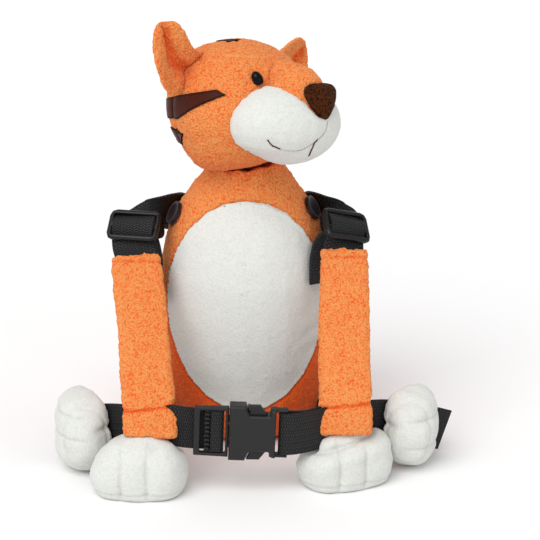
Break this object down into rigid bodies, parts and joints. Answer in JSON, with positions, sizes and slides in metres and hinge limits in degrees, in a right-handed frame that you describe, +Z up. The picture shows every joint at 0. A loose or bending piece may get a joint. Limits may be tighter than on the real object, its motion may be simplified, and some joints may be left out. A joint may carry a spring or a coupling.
{
  "type": "plush tiger toddler harness backpack",
  "caption": "Stuffed plush tiger harness backpack whose arms are adjustable shoulder straps, with a webbing belt that closes on a side-release buckle in front of the belly.",
  "frame": {"origin": "middle of the stuffed body's flat base, on the surface that the backpack sits on", "axes": "+Z up, -Y towards the belly and the buckle, +X to the right of someone who looks at the belly"},
  "size_m": [0.236, 0.1755, 0.2598],
  "materials": {
    "orange_plush": "short curly terry pile, orange",
    "white_plush": "short smooth fleece pile, white",
    "nose_plush": "short dense pile, brown",
    "stripe_satin": "satin with a stitched border, dark brown",
    "eye_plastic": "glossy black",
    "webbing": "herringbone webbing, black",
    "slider_plastic": "glossy moulded, black",
    "buckle_plastic": "matt moulded, dark grey",
    "disc_plastic": "satin moulded, dark maroon with a pale rim"
  },
  "bodies": {
    "root": {"head": "orange_plush", "muzzle": "white_plush", "muzzle_bridge": "orange_plush", "nose": "nose_plush", "crown_stripe": "stripe_satin", "ear_left": "orange_plush", "eye_left": "eye_plastic", "upper_stripe_left": "stripe_satin", "lower_stripe_left": "stripe_satin", "ear_right": "orange_plush", "eye_right": "eye_plastic", "upper_stripe_right": "stripe_satin", "lower_stripe_right": "stripe_satin", "torso": "orange_plush", "belly_panel": "white_plush", "slider_left": "slider_plastic", "shoulder_strap_left": "webbing", "strap_tail_left": "webbing", "arm_sleeve_left": "orange_plush", "front_paw_left": "white_plush", "rear_paw_left": "white_plush", "snap_disc_left": "disc_plastic", "slider_right": "slider_plastic", "shoulder_strap_right": "webbing", "strap_tail_right": "webbing", "arm_sleeve_right": "orange_plush", "front_paw_right": "white_plush", "rear_paw_right": "white_plush", "snap_disc_right": "disc_plastic", "belt_left": "webbing", "hip_strap_left": "webbing", "belt_right": "webbing", "hip_strap_right": "webbing", "buckle_male": "buckle_plastic", "buckle_female": "buckle_plastic"}
  },
  "joints": []
}
